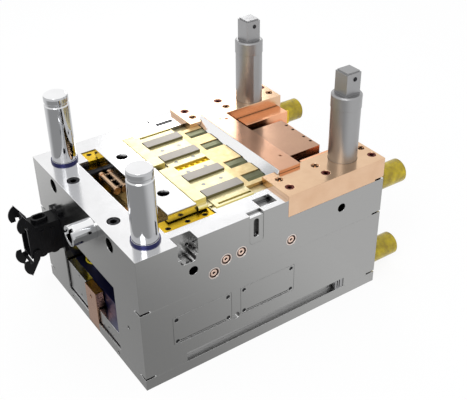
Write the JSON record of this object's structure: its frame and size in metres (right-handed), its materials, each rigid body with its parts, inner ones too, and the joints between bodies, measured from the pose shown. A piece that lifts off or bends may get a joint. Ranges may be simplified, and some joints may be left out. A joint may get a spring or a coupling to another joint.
{
  "type": "injection mould half",
  "caption": "Moving half of an injection mould with two side slides, guide pins, square-headed posts, an ejector set, a side connector and protective feet.",
  "frame": {"origin": "centre of the knock-out bore on the clamping face of the clamp plate", "axes": "+X along the block toward the feet, +Y from the near face to the far face, +Z out of the parting face"},
  "size_m": [0.79, 0.455, 0.53],
  "materials": {
    "steel": "ground and lightly polished",
    "polished": "mirror polished",
    "satin": "satin turned",
    "dark_steel": "black oxide",
    "red_steel": "dark red",
    "copper": "ground copper alloy",
    "nipple": "turned",
    "gold": "ground bronze",
    "wear": "ground bronze, oiled",
    "pale": "pale gold coating",
    "cream": "light gold coating",
    "grey": "spark eroded",
    "olive": "dark olive coating",
    "blued": "blued",
    "yellow": "glossy",
    "spring": "yellow lacquer",
    "black": "moulded"
  },
  "bodies": {
    "mould_base": {"clamp_plate": "steel", "riser_near": "steel", "riser_far": "steel", "core_plate": "steel", "centre_rail": "copper", "support_pillars": "olive", "guide_pillars": "polished", "stop_buttons": "dark_steel", "plate_screws": "dark_steel", "plate_dowels": "satin", "guide_pin_near": "polished", "guide_pin_far": "polished", "pin_rings": "blued", "post_near": "satin", "post_far": "satin", "end_block_near": "copper", "end_block_far": "copper", "lobed_screws": "dark_steel", "hex_screws": "red_steel", "strip_screws": "dark_steel", "core_base": "pale", "grey_strips": "grey", "centre_insert": "pale", "gate_bar": "gold", "mid_inserts": "pale", "edge_inserts": "pale", "olive_inserts": "olive", "cream_inserts": "cream", "slide_gibs": "gold", "gib_screws": "dark_steel", "wear_plate": "wear", "slide_bolts": "dark_steel", "stop_housing": "polished", "channel_gibs": "dark_steel", "side_lock_near": "steel", "side_lock_far": "steel", "water_nipples": "nipple", "cover_plates": "steel", "cover_screws": "dark_steel", "groove_stop": "satin", "feet": "yellow", "foot_screws": "dark_steel", "return_springs": "spring", "con_housing": "black", "con_insert": "black"},
    "left_slide_body": {"left_slide": "steel", "left_bars": "pale", "pull_rod": "polished", "cooling_tube": "copper"},
    "right_slide_body": {"slide_front": "steel", "slide_head": "copper", "slide_rear": "copper"},
    "ejector_set": {"ejector_base": "steel", "ejector_retainer": "blued", "ejector_pins": "satin", "guide_bushes": "gold"},
    "near_plunger": {"plunger_near": "dark_steel"},
    "far_plunger": {"plunger_far": "dark_steel"},
    "upper_lever": {"con_lever_top": "black"},
    "lower_lever": {"con_lever_low": "black"}
  },
  "joints": [
    {"name": "left_slide_travel", "type": "slide", "parent": "mould_base", "child": "left_slide_body", "axis": [-1, 0, 0], "range_m": [0, 0.02]},
    {"name": "right_slide_travel", "type": "slide", "parent": "mould_base", "child": "right_slide_body", "axis": [1, 0, 0], "range_m": [0, 0.035]},
    {"name": "ejector_travel", "type": "slide", "parent": "mould_base", "child": "ejector_set", "axis": [0, 0, 1], "range_m": [0, 0.06], "stiffness_N_per_m": 8000, "springref_m": -0.02, "deforming": ["return_springs"]},
    {"name": "near_plunger_press", "type": "slide", "parent": "mould_base", "child": "near_plunger", "axis": [0, 1, 0], "range_m": [0, 0.002], "stiffness_N_per_m": 800, "springref_m": -0.002},
    {"name": "far_plunger_press", "type": "slide", "parent": "mould_base", "child": "far_plunger", "axis": [0, 1, 0], "range_m": [0, 0.002], "stiffness_N_per_m": 800, "springref_m": -0.002},
    {"name": "upper_lever_hinge", "type": "hinge", "parent": "mould_base", "child": "upper_lever", "pos_m": [-0.367, 0.122, 0.22], "axis": [0, 1, 0], "range_deg": [0, 45]},
    {"name": "lower_lever_hinge", "type": "hinge", "parent": "mould_base", "child": "lower_lever", "pos_m": [-0.367, 0.122, 0.17], "axis": [0, -1, 0], "range_deg": [0, 45]}
  ]
}
